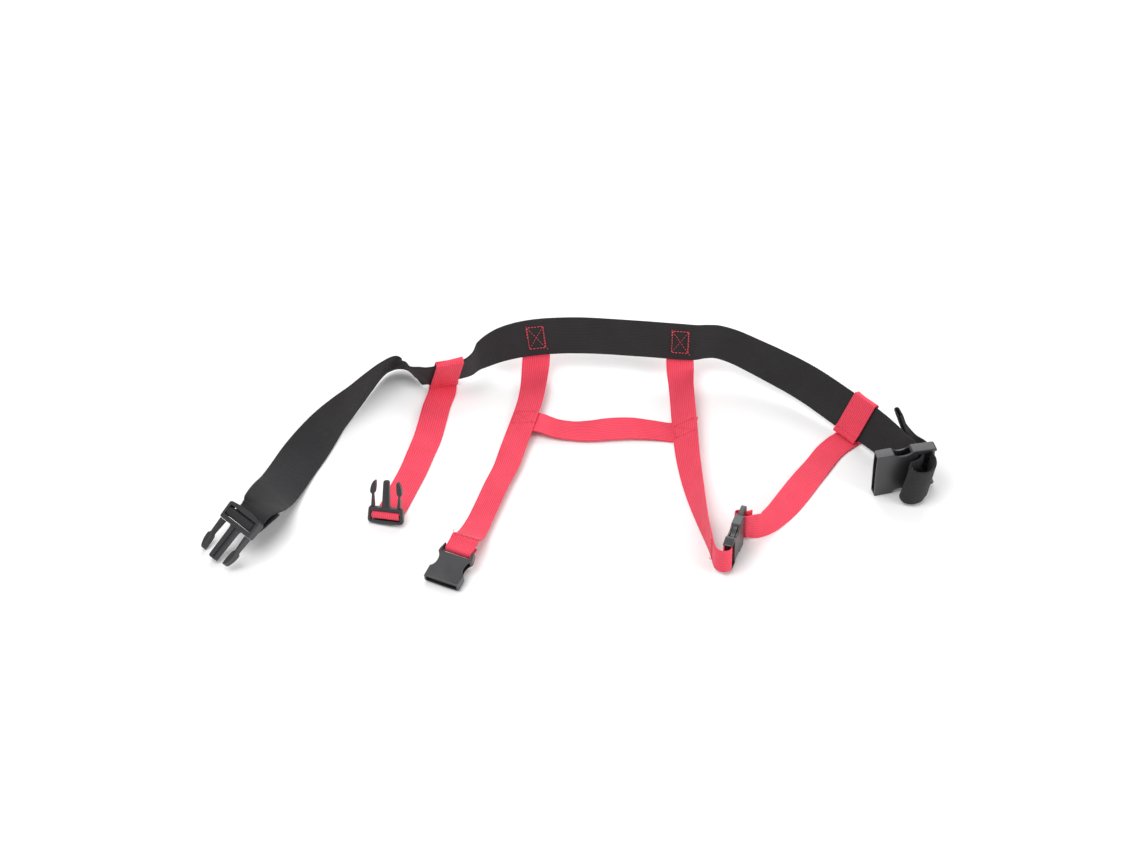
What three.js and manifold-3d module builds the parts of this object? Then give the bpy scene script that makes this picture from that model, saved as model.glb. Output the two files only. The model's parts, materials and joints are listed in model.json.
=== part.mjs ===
// Waist-and-leg harness: a black elastic waist belt with two red leg loops, laid open.
// Millimetres, +X to the right, +Y away from the front, +Z up, standing on z = 0.
import * as THREE from 'three';
import Module from 'manifold-3d';
import { mergeVertices } from 'three/addons/utils/BufferGeometryUtils.js';

const wasm = await Module();
wasm.setup();

// ---------------------------------------------------------------- driving dimensions
const GAP = 0.3;
const BELT = { width: 38, thickness: 1.6 };
const STRAP = { width: 25.4, thickness: 1.3 };

// Side-release buckles: lengths run from the webbing bar towards the prongs or the mouth.
const BIG = {
  webbing: BELT, halfWidth: 24, maleThickness: 6.4, femaleThickness: 10.6,
  barLong: 2.0, barThick: 1.5, windowBack: 5.4, windowFront: 4.5, frameBack: 8.6, frameFront: 8.8, archBack: 1.8,
  guideHalf: 5.4, guideRib: 0.9, guideThick: 4.6, guideLong: 33, armLong: 16.5, prongLong: 31.5, prongThick: 5.6, prongRoot: 19.4,
  sleeveLong: 16.2, waistLong: 16.5, waistDepth: 5.5, pocketLong: 36, wall: 2,
};
const SMALL = {
  webbing: STRAP, halfWidth: 16.5, maleThickness: 5, femaleThickness: 8.8,
  barLong: 1.5, barThick: 1.2, windowBack: 4.5, windowFront: 4.3, frameBack: 7.2, frameFront: 7.4, archBack: 0.8,
  guideHalf: 3.4, guideRib: 0.5, guideThick: 3.8, guideLong: 25, armLong: 12.3, prongLong: 24.3, prongThick: 4.2, prongRoot: 12.1,
  sleeveLong: 12.5, waistLong: 15.5, waistDepth: 5, pocketLong: 27.3, wall: 1.7,
};
const LADDER = { slot: 5.2, bar: 5, endSlot: 4, endBar: 3.6, teeth: 9, toothHeight: 0.9 };
const SEWN_BAR = { radius: 1.7, slot: 5.2 };
// Brings the middle of the laid-out harness over the origin.
const OFFSET = new THREE.Vector3(2.2, 5.5, 0);

// ---------------------------------------------------------------- materials
const elastic = () => new THREE.MeshStandardMaterial({ color: 0x323234, roughness: 0.85, metalness: 0 });
const redWebbing = () => new THREE.MeshStandardMaterial({ color: 0xe23a50, roughness: 0.75, metalness: 0 });
const plastic = () => new THREE.MeshStandardMaterial({ color: 0x3c3c3e, roughness: 0.45, metalness: 0 });
const thread = () => new THREE.MeshStandardMaterial({ color: 0xc83746, roughness: 0.7, metalness: 0 });

// ---------------------------------------------------------------- solids and booleans
function solid(geometry) {
  const bare = geometry.clone();
  bare.deleteAttribute('normal');
  bare.deleteAttribute('uv');
  const merged = mergeVertices(bare, 1e-4);
  return new wasm.Manifold(new wasm.Mesh({
    numProp: 3,
    vertProperties: new Float32Array(merged.attributes.position.array),
    triVerts: new Uint32Array(merged.index.array),
  }));
}

function geometryOf(manifold) {
  const mesh = manifold.getMesh();
  const geometry = new THREE.BufferGeometry();
  geometry.setAttribute('position', new THREE.BufferAttribute(new Float32Array(mesh.vertProperties), 3));
  geometry.setIndex(new THREE.BufferAttribute(new Uint32Array(mesh.triVerts), 1));
  const faceted = geometry.toNonIndexed();
  faceted.computeVertexNormals();
  return faceted;
}

function box(x0, x1, y0, y1, z0, z1) {
  const geometry = new THREE.BoxGeometry(x1 - x0, y1 - y0, z1 - z0);
  geometry.translate((x0 + x1) / 2, (y0 + y1) / 2, (z0 + z1) / 2);
  return solid(geometry);
}

// A rod along X with round ends left square, in an elliptical section.
function rod(halfLength, radiusY, radiusZ) {
  const geometry = new THREE.CylinderGeometry(1, 1, 2 * halfLength, 20);
  geometry.rotateZ(Math.PI / 2);
  geometry.scale(1, radiusY, radiusZ);
  return solid(geometry);
}

// A plate of the given outline in XY, centred on z = 0, with softened edges.
function plate(shape, thickness, bevel, curveSegments = 6) {
  const geometry = new THREE.ExtrudeGeometry(shape, {
    depth: thickness - 2 * bevel, bevelEnabled: bevel > 0, bevelThickness: bevel,
    bevelSize: bevel, bevelOffset: -bevel, bevelSegments: 2, curveSegments,
  });
  geometry.translate(0, 0, bevel - thickness / 2);
  return solid(geometry);
}

function node(name, geometry, material) {
  const mesh = new THREE.Mesh(geometry, material);
  mesh.name = name;
  return mesh;
}

// ---------------------------------------------------------------- routes of the webbing
// A station is [x, y, z, heading, tilt]: the centre of the webbing, and the direction from one edge
// to the other as a compass heading from +X and a rise above the horizontal, in degrees.
function acrossOf(heading, tilt) {
  const h = THREE.MathUtils.degToRad(heading);
  const t = THREE.MathUtils.degToRad(tilt);
  return new THREE.Vector3(Math.cos(h) * Math.cos(t), Math.sin(h) * Math.cos(t), Math.sin(t));
}

function stations(rows) {
  return rows.map(([x, y, z, heading, tilt]) => ({
    centre: new THREE.Vector3(x, y, z), across: acrossOf(heading, tilt),
  }));
}

// Stations round a buckle's bar, from points [y, z] in the buckle's own frame.
function stationsIn(frame, points) {
  return points.map(([y, z]) => ({
    centre: frame.origin.clone().addScaledVector(frame.y, y).addScaledVector(frame.z, z),
    across: frame.x.clone(),
  }));
}

const splineOf = (points) => new THREE.CatmullRomCurve3(points, false, 'catmullrom', 0.5);

function ribbonFrames(list, stepsPerStation) {
  const centres = splineOf(list.map((s) => s.centre));
  const acrosses = splineOf(list.map((s) => s.across));
  const count = (list.length - 1) * stepsPerStation;
  return Array.from({ length: count + 1 }, (_, i) => {
    const centre = centres.getPoint(i / count);
    const tangent = centres.getTangent(i / count);
    const across = acrosses.getPoint(i / count);
    across.addScaledVector(tangent, -across.dot(tangent)).normalize();
    const normal = new THREE.Vector3().crossVectors(tangent, across).normalize();
    return { centre, across, normal };
  });
}

// A strip of webbing bent along its frames.
function strip(frames, webbing) {
  const last = frames.length - 1;
  const geometry = new THREE.BoxGeometry(1, webbing.width, webbing.thickness, last, 1, 1);
  const position = geometry.attributes.position;
  for (let i = 0; i < position.count; i += 1) {
    const frame = frames[Math.round((position.getX(i) + 0.5) * last)];
    const point = frame.centre.clone()
      .addScaledVector(frame.across, position.getY(i))
      .addScaledVector(frame.normal, position.getZ(i));
    position.setXYZ(i, point.x, point.y, point.z);
  }
  geometry.computeVertexNormals();
  return geometry;
}

const ribbon = (list, webbing, stepsPerStation = 3) => strip(ribbonFrames(list, stepsPerStation), webbing);

// One route cut into consecutive strips, a hair's breadth apart, at the given numbers of stations.
function cutStrips(lists, webbing, stepsPerStation = 3) {
  const frames = ribbonFrames(lists.flat(), stepsPerStation);
  let start = 0;
  return lists.map((list, i) => {
    const end = i === lists.length - 1 ? frames.length - 1 : start + list.length * stepsPerStation;
    const piece = frames.slice(start, end + 1).map((f) => ({ ...f, centre: f.centre.clone() }));
    if (i > 0) pullIn(piece[0], piece[1]);
    if (i < lists.length - 1) pullIn(piece[piece.length - 1], piece[piece.length - 2]);
    start = end;
    return strip(piece, webbing);
  });
}

function pullIn(edge, inner) {
  const inward = inner.centre.clone().sub(edge.centre).normalize();
  edge.centre.addScaledVector(inward, GAP / 2);
}

// ---------------------------------------------------------------- side-release buckles
// A buckle's own frame: x along the webbing bar, y towards the prongs or the mouth, z out of its face.
function buckleFrame(origin, barDirection, pointing) {
  const y = new THREE.Vector3(...pointing).normalize();
  const x = new THREE.Vector3(...barDirection);
  x.addScaledVector(y, -x.dot(y)).normalize();
  return { origin: new THREE.Vector3(...origin), x, y, z: new THREE.Vector3().crossVectors(x, y) };
}

function placed(frame, meshes) {
  const group = new THREE.Group();
  group.position.copy(frame.origin);
  group.quaternion.setFromRotationMatrix(new THREE.Matrix4().makeBasis(frame.x, frame.y, frame.z));
  group.add(...meshes);
  return group;
}

function rectangle(halfX, y0, y1, radius) {
  const shape = new THREE.Shape();
  shape.moveTo(-halfX + radius, y0);
  shape.lineTo(halfX - radius, y0);
  shape.quadraticCurveTo(halfX, y0, halfX, y0 + radius);
  shape.lineTo(halfX, y1 - radius);
  shape.quadraticCurveTo(halfX, y1, halfX - radius, y1);
  shape.lineTo(-halfX + radius, y1);
  shape.quadraticCurveTo(-halfX, y1, -halfX, y1 - radius);
  shape.lineTo(-halfX, y0 + radius);
  shape.quadraticCurveTo(-halfX, y0, -halfX + radius, y0);
  return shape;
}

// Male half: a frame with one window, the webbing bar across it, and the guide tongue in front.
function maleFrame(size) {
  const { halfWidth: w, frameBack: b, frameFront: f, archBack: arch } = size;
  const corner = 3.2;
  const outline = new THREE.Shape();
  outline.moveTo(-w + corner, -b);
  outline.quadraticCurveTo(0, -b - 2 * arch, w - corner, -b);
  outline.quadraticCurveTo(w, -b + 0.4, w, -b + corner);
  outline.lineTo(w - 0.6, f - 1.5);
  outline.lineTo(w - 1.6, f);
  outline.lineTo(-w + 1.6, f);
  outline.lineTo(-w + 0.6, f - 1.5);
  outline.lineTo(-w, -b + corner);
  outline.quadraticCurveTo(-w, -b + 0.4, -w + corner, -b);
  const windowHalf = size.webbing.width / 2 + 0.9;
  const frame = plate(outline, size.maleThickness, 0.8)
    .subtract(box(-windowHalf, windowHalf, -size.windowBack, size.windowFront, -9, 9));
  const bar = rod(windowHalf + 0.5, size.barLong, size.barThick);
  return geometryOf(frame.add(bar).add(guideTongue(size)));
}

function guideTongue(size) {
  const { guideHalf: g, guideRib: rib, frameFront: f, guideLong: long, guideThick: thick } = size;
  const outline = new THREE.Shape();
  outline.moveTo(-g - 1.6, f - 2);
  outline.lineTo(-g - 1.6, f);
  outline.quadraticCurveTo(-g, f + 0.6, -g, f + 4);
  outline.lineTo(-g + 0.6, f + long - 2.5);
  outline.quadraticCurveTo(-g + 0.8, f + long, -g + 2.4, f + long);
  outline.lineTo(g - 2.4, f + long);
  outline.quadraticCurveTo(g - 0.8, f + long, g - 0.6, f + long - 2.5);
  outline.lineTo(g, f + 4);
  outline.quadraticCurveTo(g, f + 0.6, g + 1.6, f);
  outline.lineTo(g + 1.6, f - 2);
  const ribReach = thick / 2 + rib;
  const ridge = box(-g * 0.32, g * 0.32, f, f + long - 2, -ribReach, ribReach);
  return plate(outline, thick, 0.5).add(ridge);
}

// One flexing prong: a slim arm, a narrow neck and a leaf-shaped head with its latch shoulder outside.
function prong(size, side) {
  const { armLong: a, prongLong: long, prongThick: thick } = size;
  const k = thick / SMALL.prongThick;
  const outline = new THREE.Shape();
  outline.moveTo(-1.5 * k, 0);
  outline.lineTo(1.5 * k, 0);
  outline.quadraticCurveTo(1.3 * k, 0.5 * a, 0.9 * k, a - 1.2 * k);
  outline.lineTo(2.6 * k, a + 0.4 * k);
  outline.quadraticCurveTo(2.9 * k, a + 0.45 * (long - a), 0.2 * k, long - 1.6 * k);
  outline.quadraticCurveTo(-1.4 * k, long, -2.4 * k, long - 0.5 * k);
  outline.quadraticCurveTo(-3 * k, a + 0.5 * (long - a), -1.9 * k, a + 0.6 * k);
  outline.lineTo(-0.5 * k, a - 1.2 * k);
  outline.quadraticCurveTo(-1 * k, 0.5 * a, -1.5 * k, 0);
  const shape = geometryOf(plate(outline, thick, 0.3, 4));
  if (side < 0) shape.rotateY(Math.PI);
  shape.translate(side * size.prongRoot, size.frameFront + GAP, 0);
  return shape;
}

function maleBuckle(name, size, frame) {
  const names = ['prong_a', 'prong_b'];
  return placed(frame, [
    node(`${name}_frame`, maleFrame(size), plastic()),
    ...[-1, 1].map((side, i) => node(`${name}_${names[i]}`, prong(size, side), plastic())),
  ]);
}

// Female half: a flat sleeve with a waist on each side, where the prongs' heads show between the plates.
function mouthAt(size, adjuster) {
  const slot = adjuster ? LADDER.slot + LADDER.bar / 2 : SEWN_BAR.slot + SEWN_BAR.radius;
  return size.pocketLong + size.wall + slot;
}

function femaleBody(size, adjuster) {
  const { halfWidth: w, femaleThickness: thick, wall, sleeveLong, waistLong, waistDepth } = size;
  const mouth = mouthAt(size, adjuster);
  const back = adjuster ? -LADDER.bar / 2 - LADDER.endSlot - LADDER.endBar : -SEWN_BAR.radius - 0.9;
  const waist0 = mouth - sleeveLong;
  const waist1 = waist0 - waistLong;
  const outline = new THREE.Shape();
  outline.moveTo(-w, mouth);
  outline.quadraticCurveTo(0, mouth + 0.8, w, mouth);
  outline.lineTo(w, waist0 + 1);
  outline.bezierCurveTo(w - waistDepth, waist0 - 1.5, w - waistDepth, waist1 + 4, w - 0.5, waist1);
  outline.quadraticCurveTo(w, waist1 - 1, w - 0.3, waist1 - 3);
  outline.lineTo(w - 1.6, back + 2);
  outline.quadraticCurveTo(w - 1.9, back, w - 4, back);
  outline.lineTo(-w + 4, back);
  outline.quadraticCurveTo(-w + 1.9, back, -w + 1.6, back + 2);
  outline.lineTo(-w + 0.3, waist1 - 3);
  outline.quadraticCurveTo(-w, waist1 - 1, -w + 0.5, waist1);
  outline.bezierCurveTo(-w + waistDepth, waist1 + 4, -w + waistDepth, waist0 - 1.5, -w, waist0 + 1);
  const pocketHalf = w - wall;
  const inner = thick / 2 - wall;
  const slotHalf = size.webbing.width / 2 + 0.9;
  const slotTop = mouth - size.pocketLong - wall;
  const body = plate(outline, thick, 1)
    .subtract(box(-pocketHalf, pocketHalf, mouth - size.pocketLong, mouth + 5, -inner, inner))
    .subtract(box(-w - 5, w + 5, waist1 + 1.2, waist0 - 0.4, -inner, inner))
    .subtract(box(-slotHalf, slotHalf, back - 1, slotTop, -thick, thick));
  if (!adjuster) return geometryOf(body.add(rod(slotHalf + 0.5, SEWN_BAR.radius, SEWN_BAR.radius)));
  const halfBar = LADDER.bar / 2;
  const reach = slotHalf + 0.5;
  const endBar = rod(reach, LADDER.endBar / 2, LADDER.endBar / 2)
    .translate([0, back + LADDER.endBar / 2, 0]);
  return geometryOf(body
    .add(box(-reach, reach, -halfBar, halfBar, -halfBar, halfBar))
    .add(endBar)
    .add(ladderTeeth(slotHalf)));
}

// Grip teeth along the ladder bar, standing into the slot at the end.
function ladderTeeth(slotHalf) {
  const pitch = (2 * slotHalf) / LADDER.teeth;
  const edge = -LADDER.bar / 2;
  return Array.from({ length: LADDER.teeth }, (_, i) => {
    const x = -slotHalf + (i + 0.5) * pitch;
    return box(x - pitch / 4, x + pitch / 4, edge - LADDER.toothHeight, edge + 1, -LADDER.bar / 2, LADDER.bar / 2);
  }).reduce((a, b) => a.add(b));
}

// ---------------------------------------------------------------- where the buckles lie
const BIG_MALE = buckleFrame([-290.5, -92, 27.3], [-0.6, 0.785, -0.155], [-0.61, -0.574, -0.546]);
const BIG_FEMALE = buckleFrame([311.6, -16, 24.3], [0, -0.055, 0.998], [-0.964, -0.265, 0]);
const LEFT_MALE = buckleFrame([-165.7, -65.8, 8.8], [0.962, -0.258, 0.09], [0.031, 0.43, 0.902]);
const LEFT_FEMALE = buckleFrame([-99.8, -116.1, 12.6], [-0.901, 0.434, 0], [-0.423, -0.88, -0.212]);
const RIGHT_FEMALE = buckleFrame([134.5, -126, 16.9], [0, 0, -1], [0.31, 0.951, 0]);
const closedLength = mouthAt(SMALL, false) + SMALL.frameFront + GAP;
const RIGHT_MALE = buckleFrame(
  RIGHT_FEMALE.origin.clone().addScaledVector(RIGHT_FEMALE.y, closedLength).toArray(),
  [0, 0, 1], [-0.31, -0.951, 0],
);

// ---------------------------------------------------------------- waist belt
const beltLeft = [
  ...stationsIn(BIG_MALE, [
    [-24, -14], [-16, -12], [-9, -10], [-3, -8.2], [1.6, -6], [3.2, -3], [3.3, -0.6], [2.9, 1.6], [1.4, 3],
    [-1.4, 3], [-2.9, 1.6], [-3.3, -1.2], [-4.6, -4], [-9, -5.2], [-16, -5.8],
  ]),
  ...stations([
    [-272.5, -74, 30.5, 124, -4], [-267.5, -58, 24.5, 128, 8], [-262, -40, 16.5, 138, 20],
    [-255, -19, 12, 150, 26], [-246, 3, 11.5, 157, 32], [-236, 20, 14.5, 159, 44], [-225, 38, 17.5, 158, 60],
    [-214, 55, 19.5, 158, 76], [-202, 72, 20.5, 152, 88], [-191, 90, 20.5, -27, 84], [-181, 106, 20.5, -28, 76],
    [-171, 119.5, 20.5, -38, 66], [-163, 125, 19.5, -58, 56], [-155.5, 125, 18.5, -80, 48],
    [-149.5, 118.3, 18.4, -94, 49], [-144, 111.4, 18.8, -90, 57], [-137, 108, 20.3, -82, 63],
    [-130, 107.3, 21.2, -79, 65], [-116, 109.6, 23, -78, 66], [-101, 112.3, 24.9, -77, 67],
  ]),
];
const beltCentre = stations([
  [-101, 112.3, 24.9, -77, 67], [-93, 116.2, 26.8, -74, 74], [-85, 125, 30, -62, 86], [-71, 132.5, 34, 118, 86],
  [-54, 136.5, 38, 104, 81], [-34, 138.3, 41, 94, 79], [-12, 138.8, 42.5, 91, 79], [9, 138.4, 43, 89, 79],
  [30, 137, 43, 87, 80], [50, 135, 43, 86, 80], [69, 133, 43, 86, 80], [84, 131.2, 43, 85, 80],
  [98, 129.6, 43, 84, 80], [112, 129, 42.5, 80, 82], [122, 131, 41.8, 60, 85], [133, 132.5, 40, 30, 85],
  [148, 129, 37, 30, 82], [167, 120, 33, 30, 78], [184, 110.5, 30, 32, 74], [202, 99.5, 27, 34, 71],
  [218, 87, 25, 36, 68], [232, 74, 23.3, 38, 66], [244, 61.5, 22.6, 38, 65],
]);
const beltRight = [
  ...stations([
    [244, 61.5, 22.6, 38, 65], [256, 49, 22.2, 38, 65], [268, 36.5, 22, 38, 66], [281, 20, 22.5, 34, 70],
    [293, 4, 23.4, 28, 78],
  ]),
  ...stationsIn(BIG_FEMALE, [[5.6, -12], [5.1, -5], [5.1, 2]]),
  ...stations([
    [309.2, -23.5, 23.8, 0, 87], [304.6, -28.8, 23.6, 0, 84], [298.3, -32, 23, 0, 79], [295, -36.5, 22.6, 0, 77],
    [297.5, -42.5, 22.4, 0, 76], [304, -45, 22.4, 0, 76], [311.5, -42.8, 22.6, 0, 77], [317, -36, 23, 0, 79],
    [318.8, -27.5, 23.6, 0, 83],
  ]),
  ...stationsIn(BIG_FEMALE, [[-4.95, 4], [-4.95, -2], [-4.5, -7]]),
  ...stations([
    [309.5, 3, 23, -165, 79], [305.7, 15, 21.5, -165, 74], [302, 27, 20.5, -165, 72], [299.6, 34.4, 20.2, -165, 72],
  ]),
];
const beltHem = stations([[299.2, 35.6, 20.2, -165, 72], [297.6, 40.6, 20.2, -165, 72], [296, 45.6, 20.2, -165, 72]]);

// ---------------------------------------------------------------- leg straps
const innerStrapLeft = [
  ...stations([
    [-34, 143.3, 55, 183, 0], [-34, 141.9, 48, 183, 0], [-34, 140.4, 40.7, 183, 0], [-34, 138.9, 33, 183, 0],
    [-34, 137.4, 25, 182, 0], [-34.2, 135, 18, 180, -1], [-34.8, 130, 12, 178, -5], [-35.6, 122, 8.4, 174, -12],
    [-36.6, 111, 6.6, 170, -16], [-38.5, 96, 6.4, 168, -17], [-41.4, 80, 6.4, 168, -16],
    [-44.6, 66.5, 6.4, 167.4, -16], [-48.4, 50.5, 6.3, 167, -15], [-54, 28, 5.6, 165, -14],
    [-60, 4, 4.6, 164, -15], [-68, -19, 4.3, 163, -16], [-75, -42, 4.5, 162, -17],
    [-82, -65, 4.8, 161, -15], [-87.5, -82, 6.5, 159, -8], [-91, -95, 11.8, 157, -3],
  ]),
  ...stationsIn(LEFT_FEMALE, [
    [-14, 3.4], [-8, 2.9], [-2, 2.8], [1.3, 2.5], [2.8, 0.6], [2.4, -1.6], [0.4, -2.8], [-4, -2.9], [-9.5, -2.7],
  ]),
];
const innerStrapRight = [
  ...stations([
    [98, 135.1, 57.5, 177, 0], [98, 133.8, 50, 177, 0], [98, 132.5, 42.7, 177, 0], [98, 131.2, 35, 177, 0],
    [98, 129.9, 27, 177, 0], [98, 126.9, 20, 178, -4], [98.3, 122, 14.5, 180, -12], [98.7, 113.5, 11.6, 180, -24],
    [99, 103, 10.4, 180, -29], [99.5, 88, 10.2, 180, -31], [100.2, 68, 10.1, -179, -30],
    [101.1, 47.5, 10.1, -177.5, -30], [102.3, 22, 9.9, -176, -34], [104.3, -2, 9.6, -174, -42],
    [107, -25, 10.5, -170, -51], [110.2, -48, 12, -165, -62],
    [113.8, -71, 13.4, -160, -74], [117.3, -92, 14.8, -160, -84],
    [119.6, -105, 15.9, -160, -88],
  ]),
  ...stationsIn(RIGHT_FEMALE, [
    [4, -15], [-2, -12], [-6.4, -8.6], [-8.2, -4], [-7.2, 0.8], [-4, 3.6], [0.6, 3.2], [3.9, 1.6], [4.6, -1.2],
    [2.4, -3], [-1.4, -3.4],
  ]),
];
const crossStrap = stations([
  [-56, 66.8, 1.2, 70, 0], [-52, 65.6, 2.3, 70, 0], [-46, 63.6, 4.1, 70, 0], [-40, 61.4, 5.9, 70, 0],
  [-34, 58.9, 7.6, 71, 0], [-29, 57, 8, 73, -2], [-24, 55.6, 6.9, 75, -3],
  [-15, 53.6, 4.6, 78, -2], [0, 51.7, 3.4, 84, 0], [16, 50.8, 4.2, 90, 6], [34, 52, 5.4, 93, 10],
  [52, 53.4, 5, 92, 8], [68, 53.4, 3.3, 90, 3], [79, 52.9, 2, 88, 0], [86, 52.2, 1.15, 86, 0],
  [92, 50.9, 2.5, 84, 1], [95, 50.1, 4.3, 84, 3], [100, 48.7, 7.2, 84, 4], [105.5, 47.1, 10.3, 84, 4],
  [110.5, 45.8, 13.2, 84, 4],
]);
const outerStrapLeft = [
  ...stations([
    [-120.3, 108.6, 1.2, 179, 0], [-120.9, 104.5, 1.2, 178, 0],
    [-125, 88, 1.2, 175, 0], [-128, 68, 1.9, 171, 4],
    [-132, 44, 2.1, 168, 6], [-138, 22, 1.3, 165, 1], [-144, 0, 1.2, 161, -1], [-151.3, -22, 1.2, 158, 0],
    [-158, -42, 1.2, 162, 0], [-161.5, -52, 1.6, 164, -2],
  ]),
  ...stationsIn(opposite(LEFT_MALE), [
    [-3, -8.6], [-3.3, -4], [-2.9, 0.5], [-1.6, 2.4], [0, 2.6], [1.6, 2.4], [2.9, 0.5], [3.3, -3.5], [2.6, -8],
    [1, -12],
  ]),
];
const outerStrapRight = [
  ...stations([
    [252.3, 48, 1, 140, 0], [248.8, 44.2, 1.1, 141, 0], [243.5, 39.2, 1.3, 144, 0], [238, 34, 1.2, 146, 0],
    [230, 24, 1.2, 147, 0],
    [220, 7, 1.5, 150, 0], [210.5, -10, 3, 150, 8], [201, -28.5, 5.2, 149, 20], [192, -46, 7.8, 147, 36],
    [183, -61.5, 10.2, 143, 52], [174, -74.5, 12.2, 134, 66], [165, -83, 13.2, 112, 80], [157.5, -87, 16, 98, 88],
  ]),
  ...stationsIn(RIGHT_MALE, [
    [3.2, 5], [3, 1], [2.9, -2.4], [1.2, -5.8], [-1.6, -5.6], [-3, -2.4], [-3.1, 1], [-3.6, 4], [-6.5, 7.5],
  ]),
];

// ---------------------------------------------------------------- keepers and stitching
const KEEPER = { halfHeight: 19.7, halfGap: 1.8, hemLong: 5, hemThick: 1.5 };
const THREAD = 0.9;

// The frame of a route at one of its stations: x along the route, y from edge to edge, z off the face.
function frameAt(list, index) {
  const { centre, across, normal } = ribbonFrames(list, 1)[index];
  const along = new THREE.Vector3().crossVectors(across, normal);
  return { origin: centre, x: along, y: across, z: normal };
}

// The same frame seen from behind: x and z turned about y.
function opposite(frame) {
  return { ...frame, x: frame.x.clone().negate() };
}

// A webbing loop folded round the belt, with its hem turned up on the face and its pull leaning along the belt.
function keeperLoop(lean) {
  const { halfHeight, halfGap, hemLong, hemThick } = KEEPER;
  const wall = STRAP.thickness;
  const outline = rectangle(halfGap + wall, -halfHeight - wall, halfHeight + wall, wall);
  outline.holes.push(rectangle(halfGap, -halfHeight, halfHeight, 0.5));
  const geometry = new THREE.ExtrudeGeometry(outline, {
    depth: STRAP.width, bevelEnabled: false, curveSegments: 4,
  });
  geometry.translate(0, 0, -STRAP.width / 2);
  geometry.rotateY(Math.PI / 2);
  const outside = halfGap + wall;
  const half = STRAP.width / 2;
  const hem = box(-half, half, -halfHeight - 0.2, -halfHeight + hemLong, outside - 0.4, outside + hemThick);
  return geometryOf(solid(geometry).add(hem)).applyMatrix4(leaning(lean));
}

// A sewn row lying across a keeper, just above its hem.
function keeperStitch(lean) {
  const geometry = new THREE.BoxGeometry(STRAP.width - 2, THREAD, THREAD);
  const off = KEEPER.halfGap + STRAP.thickness + GAP + THREAD / 2;
  geometry.translate(0, -KEEPER.halfHeight + KEEPER.hemLong + 1.4, off);
  return geometry.applyMatrix4(leaning(lean));
}

// Slides the far edge along the belt in step with its height.
const leaning = (lean) => new THREE.Matrix4().makeShear(0, 0, lean, 0, 0, 0);

function keeper(side, lean, frame) {
  return placed(frame, [
    node(`keeper_${side}`, keeperLoop(lean), redWebbing()),
    node(`keeper_stitch_${side}`, keeperStitch(lean), thread()),
  ]);
}

// A sewn rectangle with a cross in it, lying on the face of a strip.
function boxStitch(along, across, off) {
  const rows = [-1, 1].flatMap((k) => [
    box(-along / 2, along / 2, (k * (across - THREAD) - THREAD) / 2, (k * (across - THREAD) + THREAD) / 2, 0, THREAD),
    box((k * (along - THREAD) - THREAD) / 2, (k * (along - THREAD) + THREAD) / 2, -across / 2, across / 2, 0, THREAD),
    diagonal(along - THREAD, k * (across - THREAD)),
  ]);
  return geometryOf(rows.reduce((a, b) => a.add(b)).translate([0, 0, off]));
}

function diagonal(along, across) {
  const geometry = new THREE.BoxGeometry(Math.hypot(along, across), THREAD, THREAD);
  geometry.rotateZ(Math.atan2(across, along));
  geometry.translate(0, 0, THREAD / 2);
  return solid(geometry);
}

function rowStitch(width, off) {
  const geometry = new THREE.BoxGeometry(THREAD, width, THREAD);
  geometry.translate(0, 0, off + THREAD / 2);
  return geometry;
}

const [beltLeftStrip, beltCentreStrip, beltRightStrip] = cutStrips(
  [beltLeft.slice(0, -1), beltCentre.slice(0, -1), beltRight], BELT,
);
const harness = new THREE.Group();
harness.add(
  node('belt_left', beltLeftStrip, elastic()),
  node('belt_centre', beltCentreStrip, elastic()),
  node('belt_right', beltRightStrip, elastic()),
  node('belt_hem', ribbon(beltHem, { width: BELT.width, thickness: 2.6 * BELT.thickness }), elastic()),
  node('inner_strap_left', ribbon(innerStrapLeft, STRAP), redWebbing()),
  node('inner_strap_right', ribbon(innerStrapRight, STRAP), redWebbing()),
  node('cross_strap', ribbon(crossStrap, STRAP), redWebbing()),
  node('outer_strap_left', ribbon(outerStrapLeft, STRAP), redWebbing()),
  node('outer_strap_right', ribbon(outerStrapRight, STRAP), redWebbing()),
  maleBuckle('big_male', BIG, BIG_MALE),
  placed(BIG_FEMALE, [node('big_female', femaleBody(BIG, true), plastic())]),
  maleBuckle('left_male', SMALL, LEFT_MALE),
  placed(LEFT_FEMALE, [node('left_female', femaleBody(SMALL, false), plastic())]),
  maleBuckle('right_male', SMALL, RIGHT_MALE),
  placed(RIGHT_FEMALE, [node('right_female', femaleBody(SMALL, false), plastic())]),
  keeper('left', 0.22, frameAt(beltLeft, beltLeft.length - 2)),
  keeper('right', 0.15, frameAt(beltRight, 1)),
  placed(frameAt(beltCentre, 5), [
    node('belt_stitch_left', boxStitch(15.5, 23, BELT.thickness / 2 + GAP), thread()),
  ]),
  placed(frameAt(beltCentre, 12), [
    node('belt_stitch_right', boxStitch(15.5, 23, BELT.thickness / 2 + GAP), thread()),
  ]),
  placed(frameAt(innerStrapLeft, 11), [
    node('cross_stitch_left', boxStitch(16, 21, -STRAP.thickness / 2 - GAP - THREAD), thread()),
  ]),
  placed(frameAt(innerStrapLeft, 20), [
    node('end_stitch_left', rowStitch(STRAP.width - 3, -STRAP.thickness / 2 - GAP - THREAD), thread()),
  ]),
  placed(frameAt(innerStrapRight, 19), [
    node('end_stitch_right', rowStitch(STRAP.width - 3, -STRAP.thickness / 2 - GAP - THREAD), thread()),
  ]),
  placed(frameAt(innerStrapRight, 11), [
    node('cross_stitch_right', boxStitch(16, 21, -STRAP.thickness / 2 - GAP - THREAD), thread()),
  ]),
);
harness.position.copy(OFFSET);
export default harness;
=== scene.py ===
"""Waist-and-leg harness: black elastic belt, red leg webbing and buckles, laid out on a pale floor."""
import json
from math import copysign, cos, hypot, pi, radians, sin
from random import Random

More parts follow.
